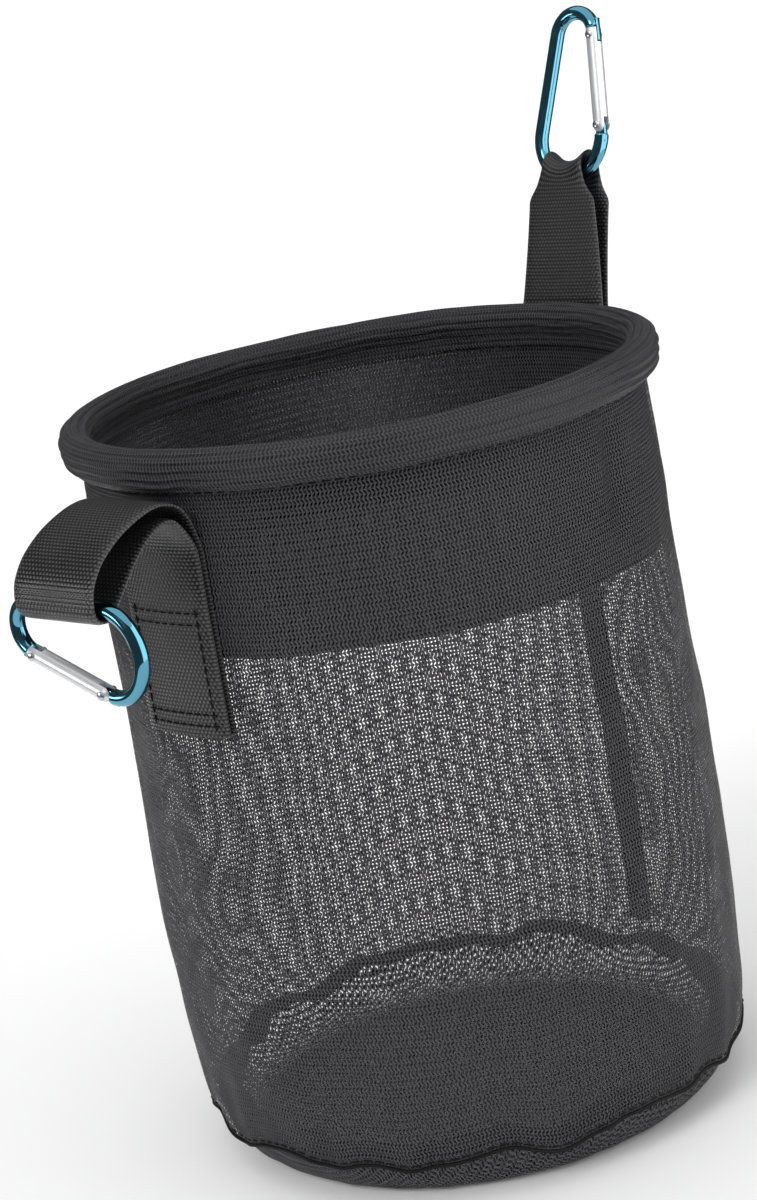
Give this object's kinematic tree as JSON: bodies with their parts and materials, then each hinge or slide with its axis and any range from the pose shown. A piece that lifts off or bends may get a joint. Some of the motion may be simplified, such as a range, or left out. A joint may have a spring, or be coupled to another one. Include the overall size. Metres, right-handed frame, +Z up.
{
  "type": "peg bag",
  "caption": "Round black mesh peg bag with a hooped rim and webbing straps that hold small blue snap hooks with sprung silver gates.",
  "frame": {"origin": "centre of the flat underside of the base", "axes": "+Z up the bag's axis to the rim, +Y to the rear strap, -Y to the front strap, +X to the right seen from the front strap"},
  "size_m": [0.1598, 0.2236, 0.2824],
  "materials": {
    "mesh": "fine black warp-knit mesh, matt with a faint sheen",
    "webbing": "black woven webbing, slightly shiny",
    "hoop": "plain extruded plastic, hidden in the hem",
    "anodised": "glossy blue anodised",
    "silver": "satin silver",
    "steel": "plain bright steel"
  },
  "bodies": {
    "bag": {"mesh_wall": "mesh", "top_facing": "mesh", "rim_hem": "mesh", "rim_hoop": "hoop", "hoop_joiner": "hoop", "base_panel": "mesh", "base_seam": "mesh", "side_seam": "mesh", "rear_strap_patch": "webbing", "front_strap_patch": "webbing"},
    "rear_strap": {"rear_strap_loop": "webbing"},
    "rear_hook": {"rear_hook_frame": "anodised", "rear_hook_hinge_pin": "steel"},
    "rear_gate": {"rear_hook_gate": "silver", "rear_hook_latch_pin": "steel", "rear_hook_gate_plunger": "steel", "rear_hook_gate_spring": "steel"},
    "front_strap": {"front_strap_loop": "webbing"},
    "front_hook": {"front_hook_frame": "anodised", "front_hook_hinge_pin": "steel"},
    "front_gate": {"front_hook_gate": "silver", "front_hook_latch_pin": "steel", "front_hook_gate_plunger": "steel", "front_hook_gate_spring": "steel"}
  },
  "joints": [
    {"name": "rear_strap_fold", "type": "hinge", "parent": "bag", "child": "rear_strap", "pos_m": [0, 0.0822, 0.192], "axis": [1, 0, 0], "range_deg": [-120, 12]},
    {"name": "rear_hook_swing", "type": "hinge", "parent": "rear_strap", "child": "rear_hook", "pos_m": [0, 0.0958, 0.23647], "axis": [1, 0, 0], "range_deg": [-22, 22]},
    {"name": "rear_gate_open", "type": "hinge", "parent": "rear_hook", "child": "rear_gate", "pos_m": [0.0109, 0.09988, 0.24982], "axis": [0, -0.9563, 0.2924], "range_deg": [0, 24], "stiffness_Nm_per_rad": 0.02, "springref_deg": -11.46},
    {"name": "front_strap_fold", "type": "hinge", "parent": "bag", "child": "front_strap", "pos_m": [0, -0.0822, 0.192], "axis": [1, 0, 0], "range_deg": [-80, 10]},
    {"name": "front_hook_swing", "type": "hinge", "parent": "front_strap", "child": "front_hook", "pos_m": [0, -0.1087, 0.175], "axis": [1, 0, 0], "range_deg": [-50, 50]},
    {"name": "front_gate_open", "type": "hinge", "parent": "front_hook", "child": "front_gate", "pos_m": [0.00936, -0.1087, 0.15348], "axis": [0, 1, 0], "range_deg": [0, 14], "stiffness_Nm_per_rad": 0.02, "springref_deg": -11.46}
  ]
}
